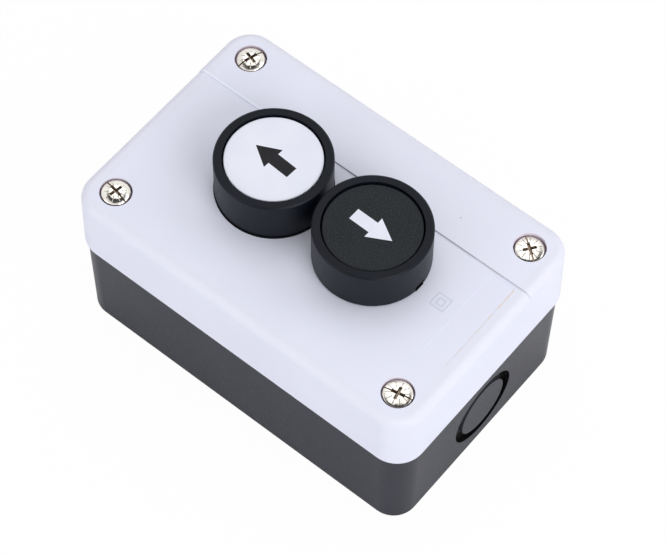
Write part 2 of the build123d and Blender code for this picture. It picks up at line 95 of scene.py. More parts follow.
def addCamera():
    camera = bpy.data.objects.new("camera", bpy.data.cameras.new("camera"))
    scene.collection.objects.link(camera)
    sight = Vector(cameraView["target"]) - Vector(cameraView["place"])
    roll = Quaternion((0, 0, 1), math.radians(cameraView["roll"]))
    camera.rotation_mode = "QUATERNION"
    camera.rotation_quaternion = sight.to_track_quat("-Z", "Y") @ roll
    camera.location = cameraView["place"]
    camera.data.sensor_width = cameraView["sensor"]
    camera.data.lens = cameraView["lens"]
    camera.data.clip_start = cameraView["nearest"]
    camera.data.clip_end = cameraView["farthest"]
    scene.camera = camera


addCamera()
scene.view_settings.view_transform = "Standard"
print("camera placed")


# Node helpers

def colourOf(red, green, blue):
    # a screen colour, 0 to 255, as the linear value that the shader takes
    linear = []
    for value in (red, green, blue):
        share = value / 255
        linear.append(share / 12.92 if share <= 0.04045 else ((share + 0.055) / 1.055) ** 2.4)
    return (*linear, 1.0)


def startMaterial(name):
    material = bpy.data.materials.new(name)
    material.use_nodes = True
    tree = material.node_tree
    shader = tree.nodes["Principled BSDF"]
    place = tree.nodes.new("ShaderNodeTexCoord").outputs["Object"]
    return material, tree, shader, place


def addNoise(tree, place, size, detail=3.0):
    # size is the width of one blob, in metres
    noise = tree.nodes.new("ShaderNodeTexNoise")
    noise.inputs["Scale"].default_value = 1 / size
    noise.inputs["Detail"].default_value = detail
    tree.links.new(place, noise.inputs["Vector"])
    return noise.outputs["Fac"]


def addRange(tree, value, low, high, toLow=0.0, toHigh=1.0):
    spread = tree.nodes.new("ShaderNodeMapRange")
    spread.inputs["From Min"].default_value = low
    spread.inputs["From Max"].default_value = high
    spread.inputs["To Min"].default_value = toLow
    spread.inputs["To Max"].default_value = toHigh
    tree.links.new(value, spread.inputs["Value"])
    return spread.outputs["Result"]


def feed(tree, socket, value):
    # value is another node's output, or else a number or a colour
    if isinstance(value, bpy.types.NodeSocket):
        tree.links.new(value, socket)
    else:
        socket.default_value = value


def addMath(tree, operation, *values):
    node = tree.nodes.new("ShaderNodeMath")
    node.operation = operation
    for socket, value in zip(node.inputs, values):
        feed(tree, socket, value)
    return node.outputs["Value"]


def addProduct(tree, first, *others):
    for other in others:
        first = addMath(tree, "MULTIPLY", first, other)
    return first


def addBeyond(tree, value, limit):
    # how far the value lies beyond plus or minus the limit
    return addMath(tree, "SUBTRACT", addMath(tree, "ABSOLUTE", value), limit)


def addRadius(tree, across, along):
    # the distance from a middle, given its two parts
    squares = addMath(tree, "MULTIPLY_ADD", across, across, addMath(tree, "MULTIPLY", along, along))
    return addMath(tree, "SQRT", squares)


def splitAxes(tree, vector):
    axes = tree.nodes.new("ShaderNodeSeparateXYZ")
    tree.links.new(vector, axes.inputs["Vector"])
    return axes.outputs["X"], axes.outputs["Y"], axes.outputs["Z"]


def addMix(tree, factor, first, second):
    mix = tree.nodes.new("ShaderNodeMix")
    mix.data_type = "RGBA"
    feed(tree, mix.inputs["Factor"], factor)
    feed(tree, mix.inputs["A"], first)
    feed(tree, mix.inputs["B"], second)
    return mix.outputs["Result"]


def addBump(tree, shader, height, depth):
    bump = tree.nodes.new("ShaderNodeBump")
    bump.inputs["Strength"].default_value = 1.0
    bump.inputs["Distance"].default_value = depth
    tree.links.new(height, bump.inputs["Height"])
    tree.links.new(bump.outputs["Normal"], shader.inputs["Normal"])


# Finishes, one for each material slot of the record

spans = {  # a noise's values between which each pattern goes from none to full
    "clouds": (0.35, 0.65),
    "grain": (0.3, 0.7),
    "dots": (0.46, 0.74),
    "stains": (0.4, 0.7),
}
fineDetail = 2.0  # of the noise in grain and dents


def addGloss(tree, shader, grain, smoothest, roughest):
    tree.links.new(addRange(tree, grain, *spans["grain"], smoothest, roughest), shader.inputs["Roughness"])


def mouldedPlastic(name, look):
    # satin plastic from a spark-eroded mould: fine grain, faint clouds in tone and gloss
    material, tree, shader, place = startMaterial(name)
    clouds = addRange(tree, addNoise(tree, place, look["cloud"]), *spans["clouds"])
    colour = addMix(tree, clouds, colourOf(*look["tone"]), colourOf(*look["shade"]))
    grain = addNoise(tree, place, look["grain"], fineDetail)
    unevenness = 0.05
    addGloss(tree, shader, grain, look["roughness"] - unevenness, look["roughness"] + unevenness)
    addBump(tree, shader, grain, look["grainDepth"])
    shader.inputs["Specular IOR Level"].default_value = look["sheen"]
    if "speckle" in look:
        # the grain's pits hold a little light, so they show as paler dots
        dots = addRange(tree, grain, *spans["dots"])
        colour = addMix(tree, dots, colour, colourOf(*look["speckle"]))
    tree.links.new(colour, shader.inputs["Base Color"])
    return material, tree, shader, place, colour


basePlasticLook = {
    "tone": (38, 40, 51),
    "shade": (34, 36, 47),
    "cloud": 20 * mm,
    "grain": 0.35 * mm,
    "grainDepth": 0.012 * mm,
    "roughness": 0.32,
    "sheen": 0.185,
    "entryMiddle": 15.3 * mm,  # height of the cable entries
    "entryY": (49.6 * mm, 51.3 * mm),  # how far out each entry's disc and groove lie
    "discRadius": 8.2 * mm,
    "discWallWidth": 0.1 * mm,
    "grooveInside": 8.35 * mm,
    "grooveOutside": 10.82 * mm,
    # painted shade: the deep groove round each disc is painted near-black
    "groovePaintedShade": (9, 9, 10),
    "discShade": (10, 12, 18),
    # painted highlight: the disc's wall is painted paler, as if lit inside its groove
    "discWallPaintedLight": (66, 68, 76),
}
blackPlasticLook = {
    "tone": (14, 19, 28),
    "shade": (11, 16, 25),
    "cloud": 9 * mm,
    "grain": 0.3 * mm,
    "grainDepth": 0.008 * mm,
    "roughness": 0.42,
    "sheen": 0.16,
    "notchHalfWidth": 1.55 * mm,
    "notchReach": 14.6 * mm,
    "notchTop": 52.1 * mm,
    # painted shade inside the drain notch
    "notchPaintedShade": (4, 4, 5),
}
blackCapLook = {
    "tone": (27, 31, 35),
    "shade": (22, 26, 30),
    "speckle": (47, 51, 56),
    "cloud": 6 * mm,
    "grain": 0.4 * mm,
    "grainDepth": 0.05 * mm,
    "roughness": 0.55,
    "sheen": 0.2,
}
whitePlasticLook = {
    "tone": (227, 229, 241),
    "shade": (223, 225, 239),
    "cloud": 8 * mm,
    "grain": 0.3 * mm,
    "grainDepth": 0.006 * mm,
    "roughness": 0.40,
    "sheen": 0.4,
}
blackPrintLook = {
    "tone": (22, 22, 28),
    "shade": (17, 17, 23),
    "cloud": 4 * mm,
    "grain": 0.25 * mm,
    "grainDepth": 0.006 * mm,
    "roughness": 0.5,
    "sheen": 0.25,
}
whitePrintLook = {
    "tone": (227, 228, 241),
    "shade": (222, 223, 237),
    "cloud": 4 * mm,
    "grain": 0.3 * mm,
    "grainDepth": 0.01 * mm,
    "roughness": 0.5,
    "sheen": 0.4,
}
nutPlasticLook = {
    "tone": (52, 54, 58),
    "shade": (42, 44, 48),
    "cloud": 7 * mm,
    "grain": 0.35 * mm,
    "grainDepth": 0.012 * mm,
    "roughness": 0.5,
    "sheen": 0.4,
}
plungerPlasticLook = {
    "tone": (212, 210, 200),
    "shade": (200, 198, 188),
    "cloud": 6 * mm,
    "grain": 0.3 * mm,
    "grainDepth": 0.006 * mm,
    "roughness": 0.38,
    "sheen": 0.45,
}
blockPlasticLook = {
    "tone": (186, 187, 186),
    "shade": (174, 175, 175),
    "cloud": 8 * mm,
    "grain": 0.4 * mm,
    "grainDepth": 0.012 * mm,
    "roughness": 0.5,
    "sheen": 0.4,
}
lidPlasticLook = {
    "tone": (44, 46, 50),
    "shade": (36, 38, 42),
    "cloud": 8 * mm,
    "grain": 0.4 * mm,
    "grainDepth": 0.012 * mm,
    "roughness": 0.5,
    "sheen": 0.4,
}
pusherPlasticLook = {
    "tone": (64, 128, 82),
    "shade": (54, 116, 72),
    "cloud": 4 * mm,
    "grain": 0.3 * mm,
    "grainDepth": 0.006 * mm,
    "roughness": 0.4,
    "sheen": 0.45,
}


# Cover: lavender white with painted warm shade at its margin, painted shade with some grime at the ledge's
# foot, a painted highlight on the ledge's rim, painted light on the counterbore walls, painted shade on
# the raised mark, a yellowed line and a dark speck

coverPlasticLook = {
    "tone": (227, 229, 244),
    "shade": (224, 226, 242),
    "cloud": 30 * mm,
    "grain": 0.28 * mm,
    "grainDepth": 0.006 * mm,
    "roughness": 0.42,
    "sheen": 0.27,
    "edgeX": 30.8 * mm,  # the margin lies past this and the next
    "edgeY": 48.3 * mm,
    "edgeZ": (48.0 * mm, 49.0 * mm),
    "edgeFade": (-0.3 * mm, 0.5 * mm),  # how far beyond the edge it starts and is full
    "edgeStrength": 0.7,
    # the margin's colour is painted warm shade for the rounded edge
    "edgeShadeTone": (225, 225, 238),
    "soilAndPaintedLightDepth": 0.12 * mm,  # how far below the top the yellowing and the painted shade and highlight still show
    # painted shade with some grime along the ledge's foot
    "shadeAndGrimeX": 14.9 * mm,
    "shadeAndGrimeWidth": 0.2 * mm,
    "shadeAndGrimeY": (20 * mm, 0.0),  # where it starts and is full
    "shadeAndGrimePatch": 4 * mm,
    "shadeAndGrimeSpan": (0.3, 0.6),
    "shadeAndGrimeLeast": 0.6,
    "shadeAndGrime": (208, 207, 218),
    # painted highlight along the ledge's rim
    "shineX": 15.2 * mm,
    "shineWidth": 0.5 * mm,
    "shineY": (24 * mm, 34 * mm),
    "shineStrength": 0.8,
    "shine": (234, 236, 250),
    # painted light on the counterbore walls
    "counterboreReach": 4.3 * mm,
    "counterboreSlope": 0.3,  # a wall's normal has at most this upward part
    "counterboreLight": (246, 234, 248),
    "markReach": 2.4 * mm,
    "markRise": 0.02 * mm,
    # painted shade on the raised mark's lines
    "markShade": (212, 214, 229),
    "labelEdgeY": -48.0 * mm,
    "labelReach": 14.1 * mm,
    "yellowWidth": 0.2 * mm,
    "yellowPatch": 2.8 * mm,
    "yellowSpan": (0.42, 0.55),
    "yellowX": (-4 * mm, 3 * mm),  # from weaker to full
    "yellowLeast": 0.45,
    "yellow": (228, 217, 204),
    "speckPlace": (21.7 * mm, -25.8 * mm, 50.3 * mm),
    "speckRadius": 0.16 * mm,
    "speck": (150, 145, 160),
}


def paintedEdgeShade(tree, place, colour):
    # painted shade: where the top starts to round off it is painted a little darker and warmer, for the
    # warm shade along the rounded edge
    look = coverPlasticLook
    acrossX, alongY, upZ = splitAxes(tree, place)
    beyondX = addBeyond(tree, acrossX, look["edgeX"])
    beyondY = addBeyond(tree, alongY, look["edgeY"])
    beyond = addMath(tree, "MAXIMUM", beyondX, beyondY)
    outward = addRange(tree, beyond, *look["edgeFade"], 0.0, look["edgeStrength"])
    margin = addProduct(tree, outward, addRange(tree, upZ, *look["edgeZ"]))
    return addMix(tree, margin, colour, colourOf(*look["edgeShadeTone"]))


def ledgeShadeAndGrime(tree, place, colour):
    # painted shade with some grime: a patchy darker line along the foot of the ledge, towards the label
    # field, for the shade where the ledge rises from the panel
    look = coverPlasticLook
    acrossX, alongY, upZ = splitAxes(tree, place)
    above = addMath(tree, "GREATER_THAN", upZ, panelTop - look["soilAndPaintedLightDepth"])
    atFoot = addMath(tree, "COMPARE", acrossX, look["shadeAndGrimeX"], look["shadeAndGrimeWidth"])
    patches = addNoise(tree, place, look["shadeAndGrimePatch"])
    patchy = addRange(tree, patches, *look["shadeAndGrimeSpan"], look["shadeAndGrimeLeast"], 1.0)
    fade = addRange(tree, alongY, *look["shadeAndGrimeY"])
    return addMix(tree, addProduct(tree, atFoot, above, patchy, fade), colour, colourOf(*look["shadeAndGrime"]))


def ledgePaintedHighlight(tree, place, colour):
    # painted highlight: the ledge's rim is painted brighter at its upper end, where its edge catches the
    # light
    look = coverPlasticLook
    acrossX, alongY, upZ = splitAxes(tree, place)
    above = addMath(tree, "GREATER_THAN", upZ, panelTop - look["soilAndPaintedLightDepth"])
    atRim = addMath(tree, "COMPARE", acrossX, look["shineX"], look["shineWidth"])
    upperEnd = addRange(tree, alongY, *look["shineY"], 0.0, look["shineStrength"])
    return addMix(tree, addProduct(tree, atRim, upperEnd, above), colour, colourOf(*look["shine"]))


def counterboreWallsPaintedLight(tree, place, colour):
    # painted light: the steep walls round each screw are painted paler and faintly pink, standing in for
    # the warm light that the screw heads throw into the counterbores
    look = coverPlasticLook
    acrossX, alongY = splitAxes(tree, place)[:2]
    fromScrew = addRadius(tree, addBeyond(tree, acrossX, screwX), addBeyond(tree, alongY, screwY))
    nearScrew = addMath(tree, "LESS_THAN", fromScrew, look["counterboreReach"])
    normal = tree.nodes.new("ShaderNodeNewGeometry").outputs["True Normal"]
    steep = addMath(tree, "COMPARE", splitAxes(tree, normal)[2], 0.0, look["counterboreSlope"])
    return addMix(tree, addProduct(tree, nearScrew, steep), colour, colourOf(*look["counterboreLight"]))


def markPaintedShade(tree, place, colour):
    # painted shade: the raised double square is painted a little darker than the cover, for the shading on
    # its raised lines
    look = coverPlasticLook
    acrossX, alongY, upZ = splitAxes(tree, place)
    onX = addMath(tree, "COMPARE", acrossX, markCentre[0], look["markReach"])
    onY = addMath(tree, "COMPARE", alongY, markCentre[1], look["markReach"])
    raised = addMath(tree, "GREATER_THAN", upZ, panelTop + look["markRise"])
    return addMix(tree, addProduct(tree, onX, onY, raised), colour, colourOf(*look["markShade"]))


def yellowedLine(tree, place, colour):
    # along the label field's lower edge, in broken runs
    look = coverPlasticLook
    acrossX, alongY, upZ = splitAxes(tree, place)
    above = addMath(tree, "GREATER_THAN", upZ, panelTop - look["soilAndPaintedLightDepth"])
    atEdge = addMath(tree, "COMPARE", alongY, look["labelEdgeY"], look["yellowWidth"])
    inField = addMath(tree, "COMPARE", acrossX, 0.0, look["labelReach"])
    broken = addRange(tree, addNoise(tree, place, look["yellowPatch"]), *look["yellowSpan"])
    stronger = addRange(tree, acrossX, *look["yellowX"], look["yellowLeast"], 1.0)
    line = addProduct(tree, atEdge, inField, above, broken, stronger)
    return addMix(tree, line, colour, colourOf(*look["yellow"]))


def darkSpeck(tree, place, colour):
    # one dark speck moulded into the ledge
    look = coverPlasticLook
    distance = tree.nodes.new("ShaderNodeVectorMath")
    distance.operation = "DISTANCE"
    feed(tree, distance.inputs[0], place)
    feed(tree, distance.inputs[1], look["speckPlace"])
    speck = addMath(tree, "LESS_THAN", distance.outputs["Value"], look["speckRadius"])
    return addMix(tree, speck, colour, colourOf(*look["speck"]))


def coverPlastic():
    material, tree, shader, place, colour = mouldedPlastic("cover_plastic_finish", coverPlasticLook)
    tints = (paintedEdgeShade, ledgeShadeAndGrime, ledgePaintedHighlight, counterboreWallsPaintedLight, markPaintedShade, yellowedLine, darkSpeck)
    for addTint in tints:
        colour = addTint(tree, place, colour)
    tree.links.new(colour, shader.inputs["Base Color"])
    return material


# Base: each cable entry's disc is a little darker, the groove round it painted near-black as painted
# shade, the disc's own wall painted paler as a painted highlight

def basePlastic():
    look = basePlasticLook
    material, tree, shader, place, colour = mouldedPlastic("base_plastic_finish", look)
    acrossX, alongY, upZ = splitAxes(tree, place)
    radius = addRadius(tree, acrossX, addMath(tree, "SUBTRACT", upZ, look["entryMiddle"]))
    nearest, farthest = look["entryY"]
    fromCentre = addMath(tree, "ABSOLUTE", alongY)
    inEnd = addMath(tree, "COMPARE", fromCentre, (farthest + nearest) / 2, (farthest - nearest) / 2)
    halfWidth = (look["grooveOutside"] - look["grooveInside"]) / 2
    middle = (look["grooveOutside"] + look["grooveInside"]) / 2
    # painted shade in the groove and a painted highlight on the disc's wall
    areas = (
        (addMath(tree, "COMPARE", radius, middle, halfWidth), "groovePaintedShade"),
        (addMath(tree, "LESS_THAN", radius, look["discRadius"]), "discShade"),
        (addMath(tree, "COMPARE", radius, look["discRadius"], look["discWallWidth"]), "discWallPaintedLight"),
    )
    for area, shade in areas:
        colour = addMix(tree, addProduct(tree, area, inEnd), colour, colourOf(*look[shade]))
    tree.links.new(colour, shader.inputs["Base Color"])
    return material


# Bezels: the drain notch in each one's foot is painted near-black, painted shade for its deep hollow

def blackPlastic():
    look = blackPlasticLook
    material, tree, shader, place, colour = mouldedPlastic("black_plastic_finish", look)
    acrossX, alongY, upZ = splitAxes(tree, place)
    halfPitch = (heads["upper"] - heads["lower"]) / 2
    fromMiddle = addMath(tree, "SUBTRACT", alongY, (heads["upper"] + heads["lower"]) / 2)
    radius = addRadius(tree, acrossX, addBeyond(tree, fromMiddle, halfPitch))
    inside = addMath(tree, "LESS_THAN", radius, look["notchReach"])
    across = addMath(tree, "COMPARE", acrossX, 0.0, look["notchHalfWidth"])
    low = addMath(tree, "LESS_THAN", upZ, look["notchTop"])
    # painted shade: the notch's inside is painted near-black
    colour = addMix(tree, addProduct(tree, inside, across, low), colour, colourOf(*look["notchPaintedShade"]))
    tree.links.new(colour, shader.inputs["Base Color"])
    return material


# Metals and rubber

nickelLook = {
    "tone": (243, 240, 233),
    "shade": (222, 217, 208),
    "roughness": 0.14,
    "dent": 0.6 * mm,
    "dentDepth": 0.03 * mm,
    # brown for dirt and painted shade in the recess and under the rim
    "shadeAndDirt": (120, 106, 92),
}
zincLook = {
    "tone": (196, 198, 200),
    "shade": (176, 178, 182),
    "roughness": 0.3,
    "dent": 0.6 * mm,
    "dentDepth": 0.01 * mm,
}
springLook = {
    "tone": (172, 174, 178),
    "shade": (150, 152, 156),
    "roughness": 0.25,
    "dent": 0.8 * mm,
    "dentDepth": 0.004 * mm,
}
silverLook = {
    "tone": (222, 216, 206),
    "shade": (206, 188, 160),
    "roughness": 0.28,
    "dent": 0.6 * mm,
    "dentDepth": 0.006 * mm,
}
brassLook = {
    "tone": (214, 176, 104),
    "shade": (190, 150, 84),
    "roughness": 0.3,
    "dent": 0.6 * mm,
    "dentDepth": 0.01 * mm,
}
rubberLook = {
    "tone": (9, 9, 10),
    "shade": (6, 6, 7),
    "grain": 0.35 * mm,
    "grainDepth": 0.02 * mm,
    "roughness": (0.65, 0.85),
    "sheen": 0.1,
}
stainWidth = 3 * mm  # on all the metals


def platedMetal(name, look):
    # plated steel or brass: slight dents that bend its reflections, faint stains, uneven gloss
    material, tree, shader, place = startMaterial(name)
    stains = addRange(tree, addNoise(tree, place, stainWidth), *spans["stains"])
    colour = addMix(tree, stains, colourOf(*look["tone"]), colourOf(*look["shade"]))
    if "shadeAndDirt" in look:
        # brown dirt and painted shade sit where the mesh says so, in the recess and under the rim
        dirty = tree.nodes.new("ShaderNodeAttribute")
        dirty.attribute_name = "shadeAndDirt"
        colour = addMix(tree, dirty.outputs["Fac"], colour, colourOf(*look["shadeAndDirt"]))
    tree.links.new(colour, shader.inputs["Base Color"])
    dents = addNoise(tree, place, look["dent"], fineDetail)
    polished, dull = 0.06, 0.08  # how much smoother and rougher than its own roughness it gets
    addGloss(tree, shader, dents, look["roughness"] - polished, look["roughness"] + dull)
    addBump(tree, shader, dents, look["dentDepth"])
    shader.inputs["Metallic"].default_value = 1.0
    return material


def sealRubber():
    # black rubber with a dull, uneven skin
    look = rubberLook
    material, tree, shader, place = startMaterial("rubber_finish")
    grain = addNoise(tree, place, look["grain"], fineDetail)
    pits = addRange(tree, grain, *spans["grain"])
    colour = addMix(tree, pits, colourOf(*look["shade"]), colourOf(*look["tone"]))
    tree.links.new(colour, shader.inputs["Base Color"])
    addGloss(tree, shader, grain, *look["roughness"])
    addBump(tree, shader, grain, look["grainDepth"])
    shader.inputs["Specular IOR Level"].default_value = look["sheen"]
    return material


plainPlastics = {
    "white_plastic": whitePlasticLook,
    "black_cap_plastic": blackCapLook,
    "black_print": blackPrintLook,
    "white_print": whitePrintLook,
    "nut_plastic": nutPlasticLook,
    "plunger_plastic": plungerPlasticLook,
    "block_plastic": blockPlasticLook,
    "lid_plastic": lidPlasticLook,
    "pusher_plastic": pusherPlasticLook,
}
metals = {
    "screw_steel": nickelLook,
    "terminal_steel": zincLook,
    "spring_steel": springLook,
    "contact_metal": silverLook,
    "brass": brassLook,
}
finishes = {
    "cover_plastic": coverPlastic(),
    "base_plastic": basePlastic(),
    "black_plastic": blackPlastic(),
    "rubber": sealRubber(),
}
for slotName, look in plainPlastics.items():
    finishes[slotName] = mouldedPlastic(f"{slotName}_finish", look)[0]
for slotName, look in metals.items():
    finishes[slotName] = platedMetal(f"{slotName}_finish", look)
nodeSlots = {}  # which slot each frame node takes its finish from
for nodeName, node in frame["nodes"].items():
    nodeSlots[nodeName] = node.material_slots[0].material.name
    node.material_slots[0].material = finishes[nodeSlots[nodeName]]
print("finishes made:", len(finishes))


# Piece helpers

softEdges = {
    "crease": 30,  # degrees, up to which two faces are shaded as one
    "sharp": 32,  # degrees, from which an edge is rounded
    "steps": 2,
}
joining = {
    "distance": 0.001 * mm,  # corners nearer than this are one
    "flat": 0.2,  # degrees, up to which triangles make one face
}


def addPiece(bm, name, slotName, body):
    # makes the object, shades it smooth up to the crease angle and hangs it on its body
    mesh = bpy.data.meshes.new(name)
    bm.to_mesh(mesh)
    bm.free()
    if "custom_normal" in mesh.attributes:
        mesh.attributes.remove(mesh.attributes["custom_normal"])
    mesh.materials.clear()
    mesh.materials.append(finishes[slotName])
    for face in mesh.polygons:
        face.use_smooth = True
        face.material_index = 0
    mesh.set_sharp_from_angle(angle=math.radians(softEdges["crease"]))
    piece = bpy.data.objects.new(name, mesh)
    scene.collection.objects.link(piece)
    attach(piece, body)
    return piece


def addSoftEdges(piece, width):
    bevel = piece.modifiers.new("soft edges", "BEVEL")
    bevel.width = width
    bevel.segments = softEdges["steps"]
    bevel.limit_method = "ANGLE"
    bevel.angle_limit = math.radians(softEdges["sharp"])
    bevel.use_clamp_overlap = True
    bevel.harden_normals = True
    weighted = piece.modifiers.new("flat faces stay flat", "WEIGHTED_NORMAL")
    weighted.keep_sharp = True


def cutAway(blank, cutter):
    # blank less cutter, both bmeshes, as a new bmesh
    solid = bpy.data.objects.new("solid", bpy.data.meshes.new("solid"))
    tool = bpy.data.objects.new("tool", bpy.data.meshes.new("tool"))
    for thing, bm in ((solid, blank), (tool, cutter)):
        bm.to_mesh(thing.data)
        bm.free()
        scene.collection.objects.link(thing)
    cut = solid.modifiers.new("cut", "BOOLEAN")
    cut.operation = "DIFFERENCE"
    cut.solver = "EXACT"
    cut.object = tool
    bpy.context.view_layer.update()
    result = bmesh.new()
    result.from_mesh(solid.evaluated_get(bpy.context.evaluated_depsgraph_get()).to_mesh())
    for thing in (solid, tool):
        leftover = thing.data
        bpy.data.objects.remove(thing)
        bpy.data.meshes.remove(leftover)
    return result


def softCopy(nodeName, pieceName, width, cutter=None):
    # the frame's own solid with its triangles joined and its moulded edges rounded
    bm = bmesh.new()
    bm.from_mesh(frame["nodes"][nodeName].data)
    bmesh.ops.remove_doubles(bm, verts=bm.verts, dist=joining["distance"])
    flat = math.radians(joining["flat"])
    bmesh.ops.dissolve_limit(bm, angle_limit=flat, verts=bm.verts, edges=bm.edges)
    if cutter:
        bm = cutAway(bm, cutter)
    body = frame["nodes"][nodeName]["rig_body"]
    piece = addPiece(bm, pieceName, nodeSlots[nodeName], body)
    addSoftEdges(piece, width)
    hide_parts(nodeName)


# Drain notch in each bezel's foot, on the side towards -Y, and the gasket's dark lip that crosses it,
# which also stands in for the deep shade in the notch

drainNotch = {
    "width": 3.0 * mm,
    "inside": 13.7 * mm,  # this and the next from the button's middle
    "outside": 15.6 * mm,
    "bottom": 50.3 * mm,
    "top": 52.0 * mm,
}
gasketLipAndShade = {
    "width": 2.9 * mm,
    "inside": 13.75 * mm,
    "outside": 14.6 * mm,
    "bottom": 49.95 * mm,
    "top": 50.55 * mm,
}


def blockAtFoot(block, centreY):
    # a block that crosses a bezel's foot on its -Y side
    bm = bmesh.new()
    size = (block["width"], block["outside"] - block["inside"], block["top"] - block["bottom"], 1)
    middleY = centreY - (block["outside"] + block["inside"]) / 2
    middleZ = (block["top"] + block["bottom"]) / 2
    place = Matrix.Translation((0, middleY, middleZ)) @ Matrix.Diagonal(size)
    bmesh.ops.create_cube(bm, size=1.0, matrix=place)
    return bm


# Enclosure, bezels and caps: the frame's solids with rounded moulded edges

edgeWidth = {
    "base": 0.18 * mm,
    "cover": 0.12 * mm,
    "bezel": 0.16 * mm,
    "cap": 0.05 * mm,
    "lip": 0.06 * mm,
    "mark": 0.03 * mm,
    "screw": 0.05 * mm,
}
softCopy("rear_case", "rear_case_shell", edgeWidth["base"])
softCopy("cover", "cover_shell", edgeWidth["cover"])
for head, centreY in heads.items():
    notch = blockAtFoot(drainNotch, centreY)
    softCopy(f"{head}_head_body", f"{head}_bezel", edgeWidth["bezel"], notch)
    softCopy(f"{head}_button_cap", f"{head}_cap_face", edgeWidth["cap"])
    # the dark lip is partly the gasket and partly stands in for the shade in the notch
    lip = addPiece(blockAtFoot(gasketLipAndShade, centreY), f"{head}_gasket_lip_and_shade", "rubber", "station")
    addSoftEdges(lip, edgeWidth["lip"])
print("enclosure and heads rounded")


# Double square of protective insulation, raised on the cover

insulationMark = {
    "outerHalf": 2.05 * mm,
    "innerHalf": 1.0 * mm,
    "line": 0.28 * mm,
    "height": 0.1 * mm,
}


def raisedFrame(bm, half):
    # one square ring, a line wide, that stands on the cover
    mark = insulationMark
    seat = Matrix.Translation((*markCentre, panelTop))
    made = bmesh.ops.create_grid(bm, x_segments=1, y_segments=1, size=half, matrix=seat)
    middle = made["verts"][0].link_faces[0]
    ring = bmesh.ops.inset_region(
        bm, faces=[middle], thickness=mark["line"], use_boundary=True, use_even_offset=True
    )["faces"]
    bmesh.ops.delete(bm, geom=[middle], context="FACES")
    raised = bmesh.ops.extrude_face_region(bm, geom=ring)["geom"]
    raisedCorners = [part for part in raised if isinstance(part, bmesh.types.BMVert)]
    bmesh.ops.translate(bm, verts=raisedCorners, vec=(0, 0, mark["height"]))


def addInsulationMark():
    bm = bmesh.new()
    for half in (insulationMark["outerHalf"], insulationMark["innerHalf"]):
        raisedFrame(bm, half)
    bmesh.ops.recalc_face_normals(bm, faces=bm.faces)
    piece = addPiece(bm, "insulation_mark", "cover_plastic", "station")
    addSoftEdges(piece, edgeWidth["mark"])


addInsulationMark()
print("insulation mark raised")


# Cover screws: domed heads with a slot, a cross and a ring of small ticks

coverScrew = {
    # each one's place, the slot's angle from +X in degrees, its rim's height and its crown over the rim
    "places": (
        (-screwX, -screwY, -78.0, 49.55 * mm, 0.3 * mm),
        (screwX, -screwY, 53.0, 49.55 * mm, 0.3 * mm),
        (screwX, screwY, -16.0, 49.95 * mm, 0.8 * mm),
        (-screwX, screwY, 79.0, 49.75 * mm, 0.8 * mm),
    ),
    "seat": 47.45 * mm,
    "tip": 22.6 * mm,
    "headRadius": 3.7 * mm,
    "rimWidth": 0.1 * mm,
    "rimDrops": (0.05 * mm, 0.25 * mm),  # at its inner and outer edge
    "footBevel": 0.15 * mm,
    # the crown's outline: radius, and height as a share of the crown
    "dome": (
        (0.0, 1.0),
        (1.5 * mm, 0.98),
        (2.0 * mm, 0.9),
        (2.35 * mm, 0.8),
        (2.7 * mm, 0.64),
        (3.1 * mm, 0.38),
        (3.45 * mm, 0.1),
    ),
    "shankRadius": 2.0 * mm,
    "tipBevel": 0.8 * mm,
    "sides": 72,
    "slotLength": 9 * mm,  # past the rim on both sides
    "slotWidth": 0.4 * mm,
    "slotDepth": 0.1 * mm,  # under the rim
    "armWidth": 0.95 * mm,
    "armReach": 2.1 * mm,
    "armDepth": 0.85 * mm,  # under the crown
    "armTaper": 0.72,
    "ticks": 10,
    "tickWidth": 0.15 * mm,
    "tickDepth": 0.4 * mm,  # under the crown
    "tickFrom": 1.5 * mm,
    "tickTo": 3.1 * mm,
    "shadeAndDirtFrom": 0.06 * mm,  # how far under the crown's surface the dirt and painted shade begin
    "clearance": 1 * mm,  # how far a cutter stands out of the crown
}


def screwBlank(rimTop, crown):
    # half outline from the crown round the rim and down the shank, spun about the screw's axis
    screw = coverScrew
    rim, seat, shank, tip = (screw[key] for key in ("headRadius", "seat", "shankRadius", "tip"))
    innerDrop, outerDrop = screw["rimDrops"]
    outline = [(radius, rimTop + share * crown) for radius, share in screw["dome"]]
    outline += [
        (rim - screw["rimWidth"], rimTop - innerDrop),
        (rim, rimTop - outerDrop),
        (rim, seat + screw["footBevel"]),
        (rim - screw["footBevel"], seat),
        (shank, seat),
        (shank, tip + screw["tipBevel"]),
        (shank - screw["tipBevel"], tip),
        (0.0, tip),
    ]
    bm = bmesh.new()
    corners = [bm.verts.new((radius, 0, height)) for radius, height in outline]
    edges = [bm.edges.new(pair) for pair in zip(corners, corners[1:])]
    bmesh.ops.spin(
        bm,
        geom=corners + edges,
        cent=(0, 0, 0),
        axis=(0, 0, 1),
        angle=math.tau,
        steps=screw["sides"],
        use_merge=True,
    )
    bmesh.ops.remove_doubles(bm, verts=bm.verts, dist=joining["distance"])
    bmesh.ops.recalc_face_normals(bm, faces=bm.faces)
    return bm


def cutterBox(bm, length, width, bottom, top, turn, middle=0.0, taper=1.0):
    # a block for one cut, narrower at its foot where it tapers
    size = Matrix.Diagonal((length, width, top - bottom, 1))
    made = bmesh.ops.create_cube(bm, size=1.0)["verts"]
    for corner in made:
        if corner.co.z < 0:
            corner.co.x *= taper
            corner.co.y *= taper
    place = Matrix.Rotation(turn, 4, "Z") @ Matrix.Translation((middle, 0, (top + bottom) / 2))
    bmesh.ops.transform(bm, verts=made, matrix=place @ size)


